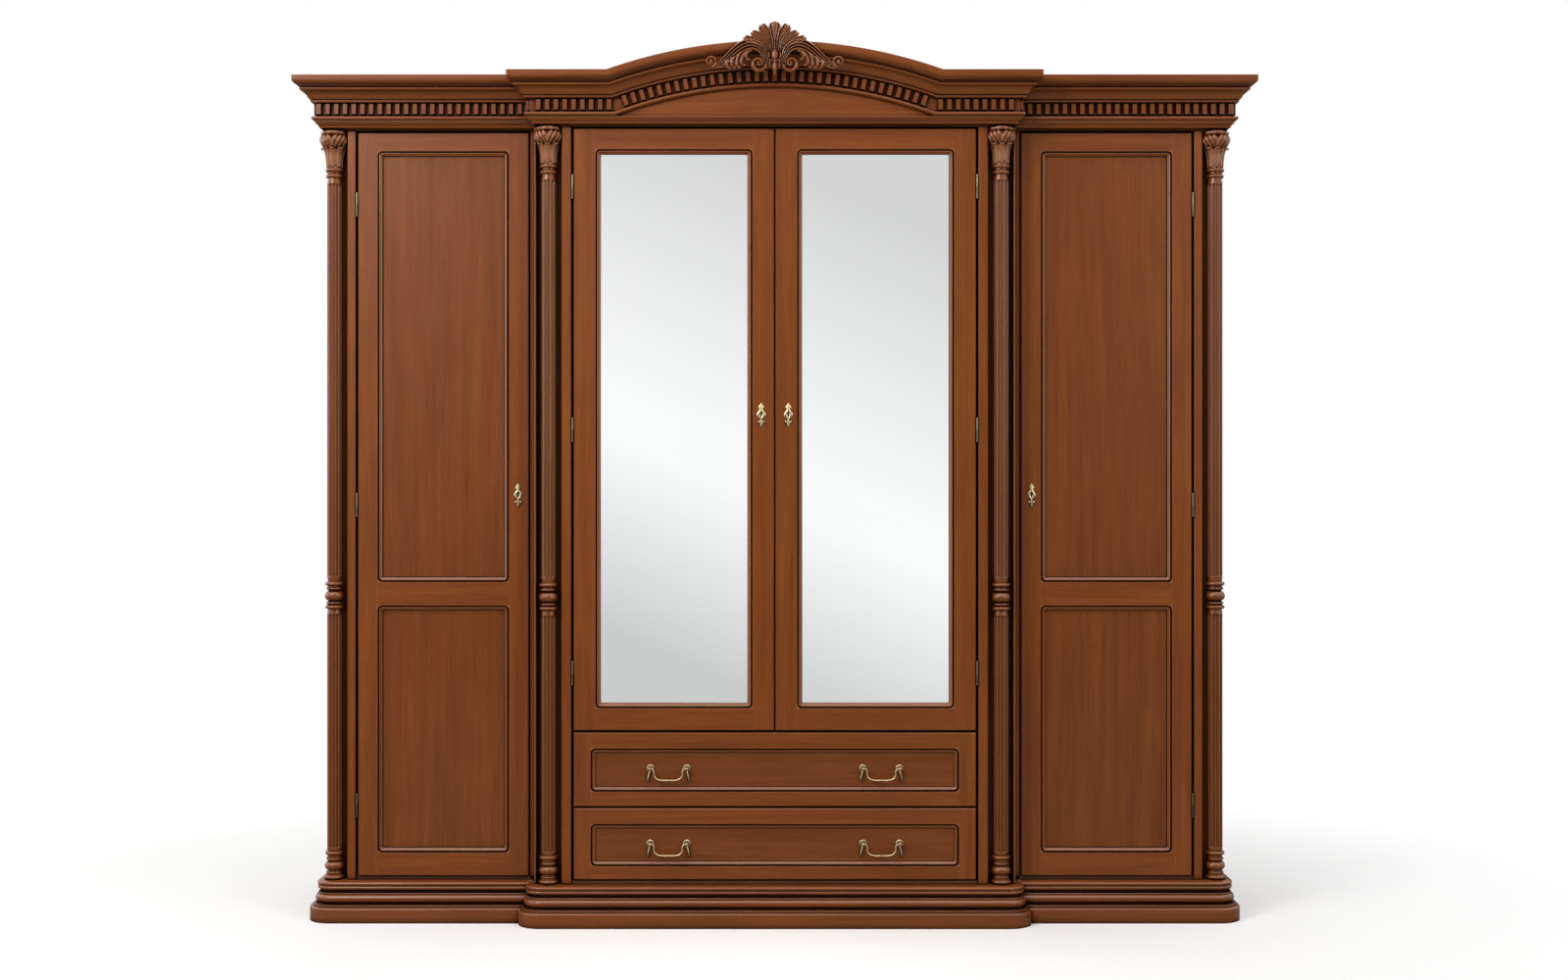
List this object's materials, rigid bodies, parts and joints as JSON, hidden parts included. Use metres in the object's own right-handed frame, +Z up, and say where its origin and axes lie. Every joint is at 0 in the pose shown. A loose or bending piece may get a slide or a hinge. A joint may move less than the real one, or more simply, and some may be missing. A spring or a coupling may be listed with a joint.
{
  "type": "armoire",
  "caption": "Breakfront armoire with moulded cornice and plinth, fluted columns, hinged mirror and panelled doors, sliding drawers with swinging bail handles.",
  "frame": {"origin": "on the floor, at the middle of the overall box", "axes": "+X along the front, from the left wing to the right wing as seen by someone facing it; +Y from the front to the back; +Z up"},
  "size_m": [2.411, 0.66, 2.239],
  "materials": {
    "walnut": "satin",
    "carved_walnut": "satin",
    "inner_wood": "matte",
    "antique_brass": "aged satin",
    "mirror": "polished"
  },
  "bodies": {
    "carcass": {"left_base": "walnut", "centre_base": "walnut", "right_base": "walnut", "left_side": "walnut", "left_partition": "inner_wood", "right_partition": "inner_wood", "right_side": "walnut", "floor_boards": "inner_wood", "top_boards": "inner_wood", "back_boards": "inner_wood", "left_posts": "walnut", "centre_posts": "walnut", "right_posts": "walnut", "left_cornice": "walnut", "centre_cornice": "walnut", "right_cornice": "walnut", "dentils": "walnut", "crest": "carved_walnut", "left_outer_column": "walnut", "left_inner_column": "walnut", "right_inner_column": "walnut", "right_outer_column": "walnut", "capitals": "carved_walnut", "shelves": "inner_wood", "hanging_rods": "antique_brass", "drawer_runners": "inner_wood", "drawer_dividers": "inner_wood", "hinge_pins": "antique_brass"},
    "left_door": {"left_door_frame": "walnut", "left_door_panels": "walnut", "left_door_hinges": "antique_brass", "left_door_lock": "antique_brass"},
    "left_door_bolt": {"left_door_bolt": "antique_brass"},
    "right_door": {"right_door_frame": "walnut", "right_door_panels": "walnut", "right_door_hinges": "antique_brass", "right_door_lock": "antique_brass"},
    "right_door_bolt": {"right_door_bolt": "antique_brass"},
    "left_mirror_door": {"left_mirror_frame": "walnut", "left_mirror_glass": "mirror", "left_mirror_back": "inner_wood", "left_mirror_hinges": "antique_brass", "left_mirror_lock": "antique_brass"},
    "left_mirror_bolt": {"left_mirror_bolt": "antique_brass"},
    "right_mirror_door": {"right_mirror_frame": "walnut", "right_mirror_glass": "mirror", "right_mirror_back": "inner_wood", "right_mirror_hinges": "antique_brass", "right_mirror_lock": "antique_brass"},
    "right_mirror_bolt": {"right_mirror_bolt": "antique_brass"},
    "upper_drawer": {"upper_drawer_front": "walnut", "upper_drawer_box": "inner_wood", "upper_handle_posts": "antique_brass"},
    "upper_left_bail": {"upper_left_bail": "antique_brass"},
    "upper_right_bail": {"upper_right_bail": "antique_brass"},
    "lower_drawer": {"lower_drawer_front": "walnut", "lower_drawer_box": "inner_wood", "lower_handle_posts": "antique_brass"},
    "lower_left_bail": {"lower_left_bail": "antique_brass"},
    "lower_right_bail": {"lower_right_bail": "antique_brass"}
  },
  "joints": [
    {"name": "left_door_hinge", "type": "hinge", "parent": "carcass", "child": "left_door", "pos_m": [-1.058, -0.1805, 1.05], "axis": [0, 0, -1], "range_deg": [0, 105]},
    {"name": "left_door_bolt_slide", "type": "slide", "parent": "left_door", "child": "left_door_bolt", "axis": [1, 0, 0], "range_m": [0, 0.012]},
    {"name": "right_door_hinge", "type": "hinge", "parent": "carcass", "child": "right_door", "pos_m": [1.058, -0.1805, 1.05], "axis": [0, 0, 1], "range_deg": [0, 105]},
    {"name": "right_door_bolt_slide", "type": "slide", "parent": "right_door", "child": "right_door_bolt", "axis": [-1, 0, 0], "range_m": [0, 0.012]},
    {"name": "left_mirror_door_hinge", "type": "hinge", "parent": "carcass", "child": "left_mirror_door", "pos_m": [-0.506, -0.2405, 1.238], "axis": [0, 0, -1], "range_deg": [0, 105]},
    {"name": "right_mirror_door_hinge", "type": "hinge", "parent": "carcass", "child": "right_mirror_door", "pos_m": [0.506, -0.2405, 1.238], "axis": [0, 0, 1], "range_deg": [0, 105]},
    {"name": "left_mirror_bolt_slide", "type": "slide", "parent": "left_mirror_door", "child": "left_mirror_bolt", "axis": [0, 0, 1], "range_m": [0, 0.014]},
    {"name": "right_mirror_bolt_slide", "type": "slide", "parent": "right_mirror_door", "child": "right_mirror_bolt", "axis": [-1, 0, 0], "range_m": [0, 0.015]},
    {"name": "upper_drawer_slide", "type": "slide", "parent": "carcass", "child": "upper_drawer", "axis": [0, -1, 0], "range_m": [0, 0.38]},
    {"name": "upper_left_bail_swing", "type": "hinge", "parent": "upper_drawer", "child": "upper_left_bail", "pos_m": [-0.266, -0.2505, 0.391], "axis": [-1, 0, 0], "range_deg": [0, 80]},
    {"name": "upper_right_bail_swing", "type": "hinge", "parent": "upper_drawer", "child": "upper_right_bail", "pos_m": [0.266, -0.2505, 0.391], "axis": [-1, 0, 0], "range_deg": [0, 80]},
    {"name": "lower_drawer_slide", "type": "slide", "parent": "carcass", "child": "lower_drawer", "axis": [0, -1, 0], "range_m": [0, 0.38]},
    {"name": "lower_left_bail_swing", "type": "hinge", "parent": "lower_drawer", "child": "lower_left_bail", "pos_m": [-0.266, -0.2505, 0.203], "axis": [-1, 0, 0], "range_deg": [0, 80]},
    {"name": "lower_right_bail_swing", "type": "hinge", "parent": "lower_drawer", "child": "lower_right_bail", "pos_m": [0.266, -0.2505, 0.203], "axis": [-1, 0, 0], "range_deg": [0, 80]}
  ]
}
